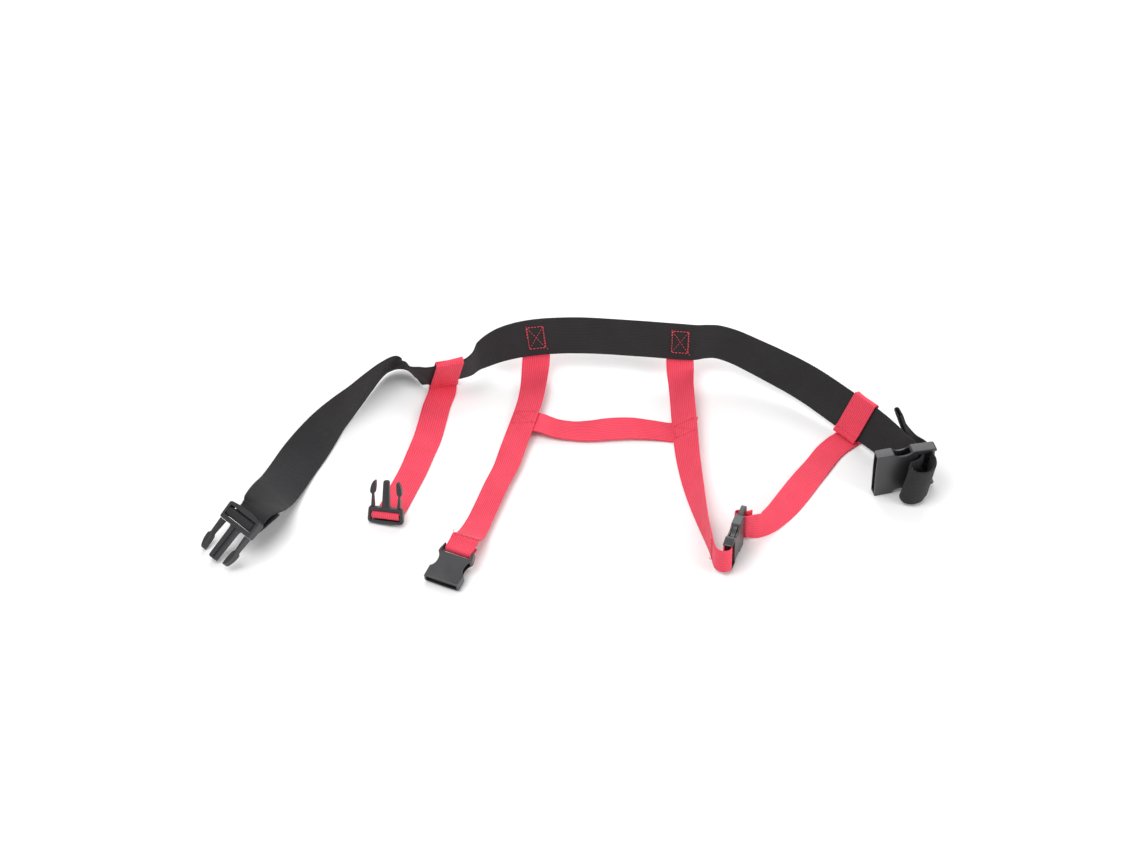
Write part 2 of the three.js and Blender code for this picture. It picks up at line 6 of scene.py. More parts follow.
import bpy
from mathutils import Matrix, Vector


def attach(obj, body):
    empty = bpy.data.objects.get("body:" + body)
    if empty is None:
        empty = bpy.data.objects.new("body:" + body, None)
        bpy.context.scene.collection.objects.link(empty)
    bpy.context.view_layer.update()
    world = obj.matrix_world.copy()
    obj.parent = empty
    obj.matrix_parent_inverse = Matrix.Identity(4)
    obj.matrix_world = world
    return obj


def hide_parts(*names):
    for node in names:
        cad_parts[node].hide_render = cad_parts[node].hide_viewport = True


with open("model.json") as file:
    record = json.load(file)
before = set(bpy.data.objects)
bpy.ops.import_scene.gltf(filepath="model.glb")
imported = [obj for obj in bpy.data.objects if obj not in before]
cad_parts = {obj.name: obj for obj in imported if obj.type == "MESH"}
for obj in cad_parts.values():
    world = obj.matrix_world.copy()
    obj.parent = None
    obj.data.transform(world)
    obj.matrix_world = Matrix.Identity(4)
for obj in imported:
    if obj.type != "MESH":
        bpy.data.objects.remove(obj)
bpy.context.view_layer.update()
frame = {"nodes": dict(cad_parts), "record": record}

MM = 0.001

# ---------------------------------------------------------------- webbing sizes and lay, in millimetres
BELT = {"width": 38.0, "thickness": 1.6}
STRAP = {"width": 25.4, "thickness": 1.3}
SMALL = {"sleeve": 27.3, "wall": 1.7, "front": 7.4}
SEWN_BAR = {"radius": 1.7, "slot": 5.2}
GAP = 0.3
OFFSET = Vector((2.2, 5.5, 0))  # from the routes' own origin to the frame's
STEPS = 8  # rings of the mesh between two stations
FACE_COLUMNS = 18  # columns of the mesh across one face of the webbing
EDGE_STEPS = 5  # steps round the webbing's edge
SELVEDGE = {"reach": 1.8, "dip": 0.06}  # inside the raised edge, the face dips by this share


# ---------------------------------------------------------------- routes
def across_of(heading, tilt):
    """The direction from one edge of the webbing to the other: heading from +X and rise, in degrees."""
    h, t = radians(heading), radians(tilt)
    return Vector((cos(h) * cos(t), sin(h) * cos(t), sin(t)))


def stations(rows):
    return [(Vector((x, y, z)) + OFFSET, across_of(heading, tilt)) for x, y, z, heading, tilt in rows]


def stations_in(place, points):
    """Stations round a bar, from points (y, z) in the place's own frame."""
    return [(place["o"] + place["y"] * y + place["z"] * z, place["x"].copy()) for y, z in points]


def buckle_frame(origin, bar_direction, pointing):
    y = Vector(pointing).normalized()
    x = Vector(bar_direction)
    x = (x - y * x.dot(y)).normalized()
    return {"o": Vector(origin) + OFFSET, "x": x, "y": y, "z": x.cross(y)}


def opposite(place):
    return {**place, "x": -place["x"]}


def hermite(points, t):
    """A point and the direction of travel on the uniform Catmull-Rom curve through the points."""
    last = len(points) - 1
    i = min(int(t * last), last - 1)
    w = t * last - i
    a, b = points[i], points[i + 1]
    before = points[i - 1] if i > 0 else a * 2 - b
    after = points[i + 2] if i + 2 <= last else b * 2 - a
    m0, m1 = (b - before) / 2, (after - a) / 2
    w2, w3 = w * w, w * w * w
    point = a * (2 * w3 - 3 * w2 + 1) + m0 * (w3 - 2 * w2 + w) + b * (3 * w2 - 2 * w3) + m1 * (w3 - w2)
    along = (a - b) * (6 * w2 - 6 * w) + m0 * (3 * w2 - 4 * w + 1) + m1 * (3 * w2 - 2 * w)
    return point, along.normalized()


def ribbon_frames(route, steps=STEPS):
    """Frames along a route: centre, travel, direction across, normal, and distance from the start."""
    centres = [c for c, _ in route]
    acrosses = [a for _, a in route]
    count = (len(route) - 1) * steps
    frames, distance, previous = [], 0.0, None
    for i in range(count + 1):
        centre, along = hermite(centres, i / count)
        across, _ = hermite(acrosses, i / count)
        across = (across - along * across.dot(along)).normalized()
        if previous is not None:
            distance += (centre - previous).length
        previous = centre
        frames.append({"o": centre, "x": along, "y": across, "z": along.cross(across), "at": distance})
    return frames


def frame_at(route, index):
    return ribbon_frames(route, 1)[index]


BIG_MALE = buckle_frame((-290.5, -92, 27.3), (-0.6, 0.785, -0.155), (-0.61, -0.574, -0.546))
BIG_FEMALE = buckle_frame((311.6, -16, 24.3), (0, -0.055, 0.998), (-0.964, -0.265, 0))
LEFT_MALE = buckle_frame((-165.7, -65.8, 8.8), (0.962, -0.258, 0.09), (0.031, 0.43, 0.902))
LEFT_FEMALE = buckle_frame((-99.8, -116.1, 12.6), (-0.901, 0.434, 0), (-0.423, -0.88, -0.212))
RIGHT_FEMALE = buckle_frame((134.5, -126, 16.9), (0, 0, -1), (0.31, 0.951, 0))
closed_length = (
    SMALL["sleeve"] + SMALL["wall"] + SEWN_BAR["slot"] + SEWN_BAR["radius"] + SMALL["front"] + GAP)
RIGHT_MALE = buckle_frame(
    RIGHT_FEMALE["o"] - OFFSET + RIGHT_FEMALE["y"] * closed_length, (0, 0, 1), (-0.31, -0.951, 0))

# Each station of a route is [x, y, z, heading, tilt], and round a buckle's bar it is [y, z].
belt_left = [
  *stations_in(BIG_MALE, [
    [-24, -14], [-16, -12], [-9, -10], [-3, -8.2], [1.6, -6],
    [3.2, -3], [3.3, -0.6], [2.9, 1.6], [1.4, 3],
    [-1.4, 3], [-2.9, 1.6], [-3.3, -1.2], [-4.6, -4], [-9, -5.2], [-16, -5.8],
  ]),
  *stations([
    [-272.5, -74, 30.5, 124, -4], [-267.5, -58, 24.5, 128, 8], [-262, -40, 16.5, 138, 20],
    [-255, -19, 12, 150, 26], [-246, 3, 11.5, 157, 32], [-236, 20, 14.5, 159, 44],
    [-225, 38, 17.5, 158, 60], [-214, 55, 19.5, 158, 76], [-202, 72, 20.5, 152, 88],
    [-191, 90, 20.5, -27, 84], [-181, 106, 20.5, -28, 76], [-171, 119.5, 20.5, -38, 66],
    [-163, 125, 19.5, -58, 56], [-155.5, 125, 18.5, -80, 48],
    [-149.5, 118.3, 18.4, -94, 49], [-144, 111.4, 18.8, -90, 57], [-137, 108, 20.3, -82, 63],
    [-130, 107.3, 21.2, -79, 65], [-116, 109.6, 23, -78, 66], [-101, 112.3, 24.9, -77, 67],
  ]),
]
belt_centre = stations([
  [-101, 112.3, 24.9, -77, 67], [-93, 116.2, 26.8, -74, 74], [-85, 125, 30, -62, 86],
  [-71, 132.5, 34, 118, 86], [-54, 136.5, 38, 104, 81], [-34, 138.3, 41, 94, 79],
  [-12, 138.8, 42.5, 91, 79], [9, 138.4, 43, 89, 79],
  [30, 137, 43, 87, 80], [50, 135, 43, 86, 80], [69, 133, 43, 86, 80], [84, 131.2, 43, 85, 80],
  [98, 129.6, 43, 84, 80], [112, 129, 42.5, 80, 82],
  [122, 131, 41.8, 60, 85], [133, 132.5, 40, 30, 85],
  [148, 129, 37, 30, 82], [167, 120, 33, 30, 78], [184, 110.5, 30, 32, 74], [202, 99.5, 27, 34, 71],
  [218, 87, 25, 36, 68], [232, 74, 23.3, 38, 66], [244, 61.5, 22.6, 38, 65],
])
belt_right = [
  *stations([
    [244, 61.5, 22.6, 38, 65], [256, 49, 22.2, 38, 65],
    [268, 36.5, 22, 38, 66], [281, 20, 22.5, 34, 70],
    [293, 4, 23.4, 28, 78],
  ]),
  *stations_in(BIG_FEMALE, [[5.6, -12], [5.1, -5], [5.1, 2]]),
  *stations([
    [309.2, -23.5, 23.8, 0, 87], [304.6, -28.8, 23.6, 0, 84], [298.3, -32, 23, 0, 79],
    [295, -36.5, 22.6, 0, 77], [297.5, -42.5, 22.4, 0, 76], [304, -45, 22.4, 0, 76],
    [311.5, -42.8, 22.6, 0, 77], [317, -36, 23, 0, 79], [318.8, -27.5, 23.6, 0, 83],
  ]),
  *stations_in(BIG_FEMALE, [[-4.95, 4], [-4.95, -2], [-4.5, -7]]),
  *stations([
    [309.5, 3, 23, -165, 79], [305.7, 15, 21.5, -165, 74], [302, 27, 20.5, -165, 72],
    [299.6, 34.4, 20.2, -165, 72],
  ]),
]
belt_hem = stations([
  [299.2, 35.6, 20.2, -165, 72], [297.6, 40.6, 20.2, -165, 72], [296, 45.6, 20.2, -165, 72],
])
inner_left = [
  *stations([
    [-34, 143.3, 55, 183, 0], [-34, 141.9, 48, 183, 0], [-34, 140.4, 40.7, 183, 0],
    [-34, 138.9, 33, 183, 0], [-34, 137.4, 25, 182, 0], [-34.2, 135, 18, 180, -1],
    [-34.8, 130, 12, 178, -5], [-35.6, 122, 8.4, 174, -12],
    [-36.6, 111, 6.6, 170, -16], [-38.5, 96, 6.4, 168, -17], [-41.4, 80, 6.4, 168, -16],
    [-44.6, 66.5, 6.4, 167.4, -16], [-48.4, 50.5, 6.3, 167, -15], [-54, 28, 5.6, 165, -14],
    [-60, 4, 4.6, 164, -15], [-68, -19, 4.3, 163, -16], [-75, -42, 4.5, 162, -17],
    [-82, -65, 4.8, 161, -15], [-87.5, -82, 6.5, 159, -8], [-91, -95, 11.8, 157, -3],
  ]),
  *stations_in(LEFT_FEMALE, [
    [-14, 3.4], [-8, 2.9], [-2, 2.8], [1.3, 2.5], [2.8, 0.6], [2.4, -1.6], [0.4, -2.8], [-4, -2.9],
    [-9.5, -2.7],
  ]),
]
inner_right = [
  *stations([
    [98, 135.1, 57.5, 177, 0], [98, 133.8, 50, 177, 0],
    [98, 132.5, 42.7, 177, 0], [98, 131.2, 35, 177, 0],
    [98, 129.9, 27, 177, 0], [98, 126.9, 20, 178, -4], [98.3, 122, 14.5, 180, -12],
    [98.7, 113.5, 11.6, 180, -24],
    [99, 103, 10.4, 180, -29], [99.5, 88, 10.2, 180, -31], [100.2, 68, 10.1, -179, -30],
    [101.1, 47.5, 10.1, -177.5, -30], [102.3, 22, 9.9, -176, -34], [104.3, -2, 9.6, -174, -42],
    [107, -25, 10.5, -170, -51], [110.2, -48, 12, -165, -62],
    [113.8, -71, 13.4, -160, -74], [117.3, -92, 14.8, -160, -84],
    [119.6, -105, 15.9, -160, -88],
  ]),
  *stations_in(RIGHT_FEMALE, [
    [4, -15], [-2, -12], [-6.4, -8.6], [-8.2, -4], [-7.2, 0.8], [-4, 3.6], [0.6, 3.2], [3.9, 1.6],
    [4.6, -1.2], [2.4, -3], [-1.4, -3.4],
  ]),
]
cross = stations([
  [-56, 66.8, 1.2, 70, 0], [-52, 65.6, 2.3, 70, 0],
  [-46, 63.6, 4.1, 70, 0], [-40, 61.4, 5.9, 70, 0],
  [-34, 58.9, 7.6, 71, 0], [-29, 57, 8, 73, -2], [-24, 55.6, 6.9, 75, -3],
  [-15, 53.6, 4.6, 78, -2], [0, 51.7, 3.4, 84, 0], [16, 50.8, 4.2, 90, 6], [34, 52, 5.4, 93, 10],
  [52, 53.4, 5, 92, 8], [68, 53.4, 3.3, 90, 3], [79, 52.9, 2, 88, 0], [86, 52.2, 1.15, 86, 0],
  [92, 50.9, 2.5, 84, 1], [95, 50.1, 4.3, 84, 3],
  [100, 48.7, 7.2, 84, 4], [105.5, 47.1, 10.3, 84, 4],
  [110.5, 45.8, 13.2, 84, 4],
])
outer_left = [
  *stations([
    [-119.8, 118.5, 1.3, 180, 0], [-120.1, 112.5, 1.2, 179, 0], [-120.9, 105, 1.2, 178, 0],
    [-125, 88, 1.2, 175, 0], [-128, 68, 1.9, 171, 4],
    [-132, 44, 2.1, 168, 6], [-138, 22, 1.3, 165, 1],
    [-144, 0, 1.2, 161, -1], [-151.3, -22, 1.2, 158, 0],
    [-158, -42, 1.2, 162, 0], [-161.5, -52, 1.6, 164, -2],
  ]),
  *stations_in(opposite(LEFT_MALE), [
    [-3, -8.6], [-3.3, -4], [-2.9, 0.5], [-1.6, 2.4], [0, 2.6], [1.6, 2.4], [2.9, 0.5], [3.3, -3.5],
    [2.6, -8], [1, -12],
  ]),
]
outer_right = [
  *stations([
    [252.3, 48, 1, 140, 0], [248.8, 44.2, 1.1, 141, 0], [243.5, 39.2, 1.3, 144, 0],
    [238, 34, 1.2, 146, 0], [230, 24, 1.2, 147, 0], [220, 7, 1.5, 150, 0],
    [210.5, -10, 3, 150, 8], [201, -28.5, 5.2, 149, 20], [192, -46, 7.8, 147, 36],
    [183, -61.5, 10.2, 143, 52], [174, -74.5, 12.2, 134, 66], [165, -83, 13.2, 112, 80],
    [157.5, -87, 16, 98, 88],
  ]),
  *stations_in(RIGHT_MALE, [
    [3.2, 5], [3, 1], [2.9, -2.4], [1.2, -5.8], [-1.6, -5.6], [-3, -2.4], [-3.1, 1], [-3.6, 4],
    [-6.5, 7.5],
  ]),
]

# The belt is one length of elastic, from the short end under the big male half to its folded tip.
belt = belt_left[:-1] + belt_centre[:-1] + belt_right

# ---------------------------------------------------------------- keepers
KEEPER = {"half_height": 20.7, "half_gap": 2.5, "hem": 5.6}
KEEPER_ROW = {"below_hem": 0.6, "reach": 11.8, "height": 1.6, "thread": 0.32}
LEFT_KEEPER = {**frame_at(belt_left, len(belt_left) - 2), "lean": 0.22}
RIGHT_KEEPER = {**frame_at(belt_right, 1), "lean": 0.15}


def keeper_stations(place):
    """Webbing from in front of the belt's lower edge, behind it, over its top and down to the hem."""
    h, g, hem = KEEPER["half_height"], KEEPER["half_gap"], KEEPER["hem"]
    outline = [
        (-h + 0.2, g - 1.3), (-h - 0.5, 0), (-h + 0.1, -g + 0.7), (-h + 1.6, -g), (-h / 2, -g),
        (0, -g), (h / 2, -g), (h - 1.6, -g), (h - 0.3, -g * 0.6), (h + 0.1, 0), (h - 0.3, g * 0.6),
        (h - 1.6, g), (h / 2, g), (0, g), (-h / 2, g), (-h + hem + 2.4, g + 0.1), (-h + hem, g + 0.5),
        (-h + 3, g + 1.1), (-h + 1, g + 1.4), (-h - 0.4, g + 1.1), (-h - 0.7, g + 0.3),
        (-h + 0.2, g - 0.3), (-h + 2.2, g - 0.3),
    ]
    lean = place["lean"]
    return [
        (place["o"] + place["x"] * (lean * y) + place["y"] * y + place["z"] * z, -place["x"])
        for y, z in outline
    ]


# ---------------------------------------------------------------- materials
class Nodes:
    """A short way to write a node tree: every call adds a node and returns its output."""

    def __init__(self, name):
        self.material = bpy.data.materials.new(name)
        self.material.use_nodes = True
        self.tree = self.material.node_tree
        self.shader = self.tree.nodes["Principled BSDF"]

    def add(self, kind, inputs=(), output=0, **settings):
        node = self.tree.nodes.new(kind)
        for key, value in settings.items():
            setattr(node, key, value)
        for key, value in dict(inputs).items():
            self.put(node.inputs[key], value)
        return node.outputs[output]

    def put(self, socket, value):
        if isinstance(value, bpy.types.NodeSocket):
            self.tree.links.new(value, socket)
        else:
            socket.default_value = value

    def math(self, operation, a, b=0.0, c=0.0):
        return self.add("ShaderNodeMath", {0: a, 1: b, 2: c}, operation=operation)

    def mix(self, factor, a, b):
        node = self.tree.nodes.new("ShaderNodeMix")
        node.data_type = "RGBA"
        self.put(node.inputs["Factor"], factor)
        self.put(node.inputs["A"], a)
        self.put(node.inputs["B"], b)
        return node.outputs["Result"]

    def noise(self, vector, scale, detail):
        return self.add("ShaderNodeTexNoise", {"Vector": vector, "Scale": scale, "Detail": detail})

    def bump(self, height, distance):
        self.put(self.shader.inputs["Normal"], self.add(
            "ShaderNodeBump", {"Height": height, "Distance": distance}))

    def look(self, **values):
        """Sets the shader's plain values, each named in lower case with underscores."""
        for key, value in values.items():
            self.shader.inputs[SHADER_INPUTS[key]].default_value = value


SHADER_INPUTS = {
    "base_color": "Base Color", "roughness": "Roughness", "specular": "Specular IOR Level",
    "sheen": "Sheen Weight", "sheen_roughness": "Sheen Roughness",
}


def rgb(r, g, b):
    """A linear colour from sRGB values of 0 to 255."""
    return tuple(((v / 255 + 0.055) / 1.055) ** 2.4 for v in (r, g, b)) + (1.0,)


def wave(nodes, coordinate, pitch, shift=0.0):
    """A sine of the given pitch, raised to run from 0 to 1."""
    turns = nodes.math("MULTIPLY", coordinate, 2 * pi / pitch)
    return nodes.math("MULTIPLY_ADD", nodes.math("SINE", nodes.math("ADD", turns, shift)), 0.5, 0.5)


# How much each part of the weave adds to the height, and patches and height to the colour.
# The patches are random tone; low height paints the weave's grooves darker, a painted shade.
WEAVE = {
    "ribs": 0.62, "picks": 0.38, "fuzz": 0.35, "patches": 0.35, "height": 0.62, "roughness_spread": 0.12,
}


def webbing_material(name, light, dark, rib, pick, roughness, sheen, depth):
    """Ribs along the webbing, each with its crossing threads out of step with the next, and fuzz."""
    nodes = Nodes(name)
    uv = nodes.add("ShaderNodeUVMap", uv_map="lay")
    split = nodes.tree.nodes.new("ShaderNodeSeparateXYZ")
    nodes.put(split.inputs[0], uv)
    across, along = split.outputs[0], split.outputs[1]
    ribs = wave(nodes, across, rib)
    side = nodes.math("MULTIPLY", nodes.math("ROUND", nodes.math("DIVIDE", across, rib)), pi)
    picks = wave(nodes, along, pick, side)
    where = nodes.add("ShaderNodeTexCoord", output=3)
    fuzz = nodes.noise(where, scale=1500.0, detail=2.0)
    patches = nodes.noise(where, scale=38.0, detail=3.0)
    weave = nodes.math("MULTIPLY_ADD", ribs, WEAVE["ribs"], nodes.math("MULTIPLY", picks, WEAVE["picks"]))
    height = nodes.math("MULTIPLY_ADD", fuzz, WEAVE["fuzz"], weave)
    # Patches add random tone; the weave's low places are painted darker, a painted shade in its grooves.
    tone_and_groove_shade = nodes.math(
        "MULTIPLY_ADD", patches, WEAVE["patches"], nodes.math("MULTIPLY", height, WEAVE["height"]))
    spread = WEAVE["roughness_spread"]
    nodes.put(nodes.shader.inputs["Base Color"], nodes.mix(tone_and_groove_shade, dark, light))
    nodes.put(nodes.shader.inputs["Roughness"], nodes.math(
        "MULTIPLY_ADD", fuzz, spread, roughness - spread / 2))
    nodes.look(sheen=sheen, sheen_roughness=0.45, specular=0.3)
    nodes.bump(height, depth)
    return nodes.material


def plastic_material(name, dark, light, roughness):
    """Moulded plastic: a fine spark-eroded grain and slight flow marks, in its roughness too."""
    nodes = Nodes(name)
    where = nodes.add("ShaderNodeTexCoord", output=3)
    grain = nodes.noise(where, scale=2600.0, detail=2.0)
    flow = nodes.noise(where, scale=60.0, detail=3.0)
    flow_spread, grain_spread = 0.16, 0.08
    lowest = roughness - (flow_spread + grain_spread) / 2
    nodes.put(nodes.shader.inputs["Base Color"], nodes.mix(flow, dark, light))
    nodes.put(nodes.shader.inputs["Roughness"], nodes.math(
        "MULTIPLY_ADD", flow, flow_spread, nodes.math("MULTIPLY_ADD", grain, grain_spread, lowest)))
    nodes.look(specular=0.7)
    nodes.bump(grain, distance=0.04 * MM)
    return nodes.material


def thread_material(name, light, dark):
    """Twisted sewing thread: fine slanted plies round each stitch, with painted shade in their hollows.
    """
    nodes = Nodes(name)
    where = nodes.add("ShaderNodeTexCoord", output=3)
    plies = nodes.add(
        "ShaderNodeTexWave", {"Vector": where, "Scale": 900.0, "Distortion": 2.0}, output=1)
    # The hollows between the plies are painted darker than their crests: painted shade, besides the bump.
    nodes.put(nodes.shader.inputs["Base Color"], nodes.mix(plies, dark, light))
    hollow_roughness, ply_gloss = 0.62, 0.15
    nodes.put(nodes.shader.inputs["Roughness"], nodes.math(
        "MULTIPLY_ADD", plies, -ply_gloss, hollow_roughness))
    nodes.look(sheen=0.2)
    nodes.bump(plies, distance=0.06 * MM)
    return nodes.material


elastic = webbing_material(
    "black_elastic", light=rgb(50, 50, 52), dark=rgb(15, 15, 16),
    rib=1.6 * MM, pick=1.1 * MM, roughness=0.85, sheen=0.06, depth=0.22 * MM)
red_webbing = webbing_material(
    "red_webbing", light=rgb(255, 86, 110), dark=rgb(190, 30, 52),
    rib=1.95 * MM, pick=1.3 * MM, roughness=0.74, sheen=0.06, depth=0.26 * MM)
plastic = plastic_material(
    "satin_black_plastic", dark=rgb(30, 30, 32), light=rgb(50, 50, 53), roughness=0.36)
red_thread = thread_material("red_thread", light=rgb(250, 84, 104), dark=rgb(186, 36, 54))


# ---------------------------------------------------------------- meshes
def new_object(name, verts, faces, material):
    """A smooth mesh in metres, in its material."""
    mesh = bpy.data.meshes.new(name)
    mesh.from_pydata(verts, [], faces)
    mesh.validate()
    mesh.materials.append(material)
    mesh.polygons.foreach_set("use_smooth", [True] * len(mesh.polygons))
    piece = bpy.data.objects.new(name, mesh)
    bpy.context.scene.collection.objects.link(piece)
    return piece


def webbing_profile(width, thickness):
    """Closed cross-section as (across, off the face): flat faces, a raised selvedge and round edges."""
    half, t = width / 2, thickness / 2
    flat = half - t
    top = []
    for i in range(FACE_COLUMNS + 1):
        a = -flat + 2 * flat * i / FACE_COLUMNS
        edge = max(0.0, 1 - (half - abs(a)) / SELVEDGE["reach"])
        top.append((a, t * (1 - SELVEDGE["dip"] + SELVEDGE["dip"] * edge)))
    turns = [pi * k / EDGE_STEPS for k in range(1, EDGE_STEPS)]
    turn = [(flat + t * sin(angle), t * cos(angle)) for angle in turns]
    bottom = [(a, -h) for a, h in reversed(top)]
    back = [(-a, -h) for a, h in turn]
    return top + turn + bottom + back


def webbing(name, route, size, material, body, stands_for):
    """A length of webbing laid along its route, as one closed sheet with its lay in the 'lay' map."""
    frames = ribbon_frames(route)
    profile = webbing_profile(size["width"], size["thickness"])
    ring = len(profile)
    verts = [
        (f["o"] + f["y"] * a + f["z"] * h) * MM
        for f in frames for a, h in profile
    ]
    faces = [
        (i * ring + k, i * ring + (k + 1) % ring, (i + 1) * ring + (k + 1) % ring, (i + 1) * ring + k)
        for i in range(len(frames) - 1) for k in range(ring)
    ]
    faces.append(tuple(range(ring - 1, -1, -1)))
    faces.append(tuple(range((len(frames) - 1) * ring, len(frames) * ring)))
    piece = new_object(name, verts, faces, material)
    lay = piece.data.uv_layers.new(name="lay")
    for loop in piece.data.loops:
        i, k = divmod(loop.vertex_index, ring)
        lay.data[loop.index].uv = (profile[k][0] * MM, frames[i]["at"] * MM)
    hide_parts(*stands_for)
    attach(piece, body)


# ---------------------------------------------------------------- threads, in millimetres
THREAD_SIDES = 6
THREAD_END = 0.55  # the radius of a thread's end, as a share of its full radius
TAIL_RADIUS = 0.28
STITCH = {"pitch": 2.9, "from": 0.16, "to": 0.76, "sway": 0.12}  # from and to are shares of the pitch
# How high a stitch stands at each share of its length.
STITCH_ARCH = ((0, 0.02), (0.12, 0.25), (0.35, 0.42), (0.65, 0.42), (0.88, 0.25), (1, 0.02))
CROSS_THREAD = 0.65  # the thread of a box's inner cross, as a share of its outline's
FRAY = {"across": 22, "reach": (-2.6, -1.2), "sway": 1.0, "end_height": (0.3, 1.0)}


def thread_tube(points, radius):
    """Vertices and faces of a thread through the points, in millimetres."""
    verts, faces = [], []
    for i, p in enumerate(points):
        ahead = points[min(i + 1, len(points) - 1)] - points[max(i - 1, 0)]
        ahead.normalize()
        u = ahead.orthogonal().normalized()
        v = ahead.cross(u)
        taper = THREAD_END if i in (0, len(points) - 1) else 1.0
        for k in range(THREAD_SIDES):
            angle = 2 * pi * k / THREAD_SIDES
            verts.append((p + (u * cos(angle) + v * sin(angle)) * radius * taper) * MM)
    for i in range(len(points) - 1):
        for k in range(THREAD_SIDES):
            a, b = i * THREAD_SIDES + k, i * THREAD_SIDES + (k + 1) % THREAD_SIDES
            faces.append((a, b, b + THREAD_SIDES, a + THREAD_SIDES))
    faces.append(tuple(range(THREAD_SIDES - 1, -1, -1)))
    faces.append(tuple(range(len(verts) - THREAD_SIDES, len(verts))))
    return verts, faces


def stitching(name, place, off, runs, tails, body, stands_for):
    """Lockstitch runs on a face, each a line of short arched threads, with loose tails at their ends.

    The face lies at the height off over its frame, place. A run is (start, end, thread radius).
    """
    rng = Random(name)
    verts, faces = [], []

    def collect(points, radius):
        v, f = thread_tube(points, radius)
        faces.extend(tuple(i + len(verts) for i in face) for face in f)
        verts.extend(v)

    def on_face(a, c, lift):
        return place["o"] + place["x"] * a + place["y"] * c + place["z"] * (off + copysign(lift, off))

    for (a0, c0), (a1, c1), radius in runs:
        length = hypot(a1 - a0, c1 - c0)
        count = max(1, round(length / STITCH["pitch"]))
        for i in range(count):
            s0, s1 = (i + STITCH["from"]) / count, (i + STITCH["to"]) / count
            sway = rng.uniform(-STITCH["sway"], STITCH["sway"])
            points = []
            for t, lift in STITCH_ARCH:
                s = s0 + (s1 - s0) * t
                points.append(on_face(a0 + (a1 - a0) * s + sway, c0 + (c1 - c0) * s + sway, lift))
            collect(points, radius)
    for tail in tails:
        collect([on_face(a, c, lift) for a, c, lift in tail], TAIL_RADIUS)
    piece = new_object(name, verts, faces, red_thread)
    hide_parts(*stands_for)
    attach(piece, body)


def box_runs(along, across, radius=0.42):
    """A sewn rectangle with a finer cross in it."""
    a, c = along / 2, across / 2
    corners = [(-a, -c), (a, -c), (a, c), (-a, c)]
    sides = [(corners[i], corners[(i + 1) % 4], radius) for i in range(4)]
    fine = radius * CROSS_THREAD
    return sides + [((-a, -c), (a, c), fine), ((-a, c), (a, -c), fine)]


def frayed_fibres(seed, count):
    """Short loose fibres standing off a cut end, in rows across the webbing."""
    rng = Random(seed)
    fibres = []
    for i in range(count):
        c = -FRAY["across"] / 2 + FRAY["across"] * (i + rng.uniform(0.1, 0.9)) / count
        reach, sway = rng.uniform(*FRAY["reach"]), rng.uniform(-FRAY["sway"], FRAY["sway"])
        end = (reach, c + sway, rng.uniform(*FRAY["end_height"]))
        fibres.append([(0.4, c, 0.1), (reach * 0.4, c + sway * 0.5, 0.7), end])
    return fibres


# ---------------------------------------------------------------- the soft pieces
webbing("belt_elastic", belt, BELT, elastic, "harness",
        ["belt_left", "belt_centre", "belt_right"])


def tip_fold_stations():
    """The belt's tip turned over twice round its own end."""
    place = ribbon_frames(belt_hem, 1)[1]
    rows = [(-5.4, -1.75), (0, -1.8), (3.6, -1.75), (5.4, -1.1), (5.9, 0), (5.4, 1.1), (3.6, 1.75),
            (0, 1.8), (-5.4, 1.75)]
    return [(place["o"] + place["x"] * a + place["z"] * z, place["y"].copy()) for a, z in rows]


webbing("belt_tip_fold", tip_fold_stations(), BELT, elastic, "harness",
        ["belt_hem"])
webbing("inner_strap_left_webbing", inner_left, STRAP, red_webbing, "harness",
        ["inner_strap_left"])
webbing("inner_strap_right_webbing", inner_right, STRAP, red_webbing, "harness",
        ["inner_strap_right"])
webbing("cross_strap_webbing", cross, STRAP, red_webbing, "harness",
        ["cross_strap"])
webbing("outer_strap_left_webbing", outer_left, STRAP, red_webbing, "left_keeper",
        ["outer_strap_left"])
webbing("outer_strap_right_webbing", outer_right, STRAP, red_webbing, "harness",
        ["outer_strap_right"])
webbing("keeper_left_band", keeper_stations(LEFT_KEEPER), STRAP, red_webbing, "left_keeper",
        ["keeper_left"])
webbing("keeper_right_band", keeper_stations(RIGHT_KEEPER), STRAP, red_webbing, "harness",
        ["keeper_right"])

# ---------------------------------------------------------------- stitching
# Stitching lies at the station that its loop lists. A locked row is sewn twice, so it is thicker.
for side, index, knot in (("left", 5, 12), ("right", 12, 6)):
    place = frame_at(belt_centre, index)
    tails = [[(-7.6, 11.4, 0.2), (-8.2, 12.0, 0.9), (-8.0, 13.2, 0.5)],
             [(7.6, -11.2, 0.2), (8.8, -12, 0.8), (9.4, -13.6, 0.4)]]
    locked_row = ((-7.9, 11.4), (-7.9, 11.4 - knot), 0.55)
    second_row = ((7.0, 11), (7.0, -11), 0.3)
    runs = box_runs(15, 22.5) + [locked_row, second_row]
    stitching(f"belt_box_stitch_{side}", place, BELT["thickness"] / 2, runs, tails, "harness",
              [f"belt_stitch_{side}"])
for side, route in (("left", inner_left), ("right", inner_right)):
    place = frame_at(route, 11)
    tails = [[(7.6, -9.6, 0.2), (8.8, -10.8, 0.9), (8.2, -12.6, 0.5)]]
    stitching(f"cross_box_stitch_{side}", place, -STRAP["thickness"] / 2, box_runs(16, 20.5, 0.26),
              tails, "harness", [f"cross_stitch_{side}"])
for side, place, body in (("left", LEFT_KEEPER, "left_keeper"), ("right", RIGHT_KEEPER, "harness")):
    level = -KEEPER["half_height"] + KEEPER["hem"] - KEEPER_ROW["below_hem"]
    lean = place["lean"] * level
    reach = KEEPER_ROW["reach"]
    runs = [((-reach + lean, level), (reach + lean, level), KEEPER_ROW["thread"])]
    off = KEEPER["half_gap"] + KEEPER_ROW["height"]
    stitching(f"keeper_row_stitch_{side}", place, off, runs, [], body, [f"keeper_stitch_{side}"])
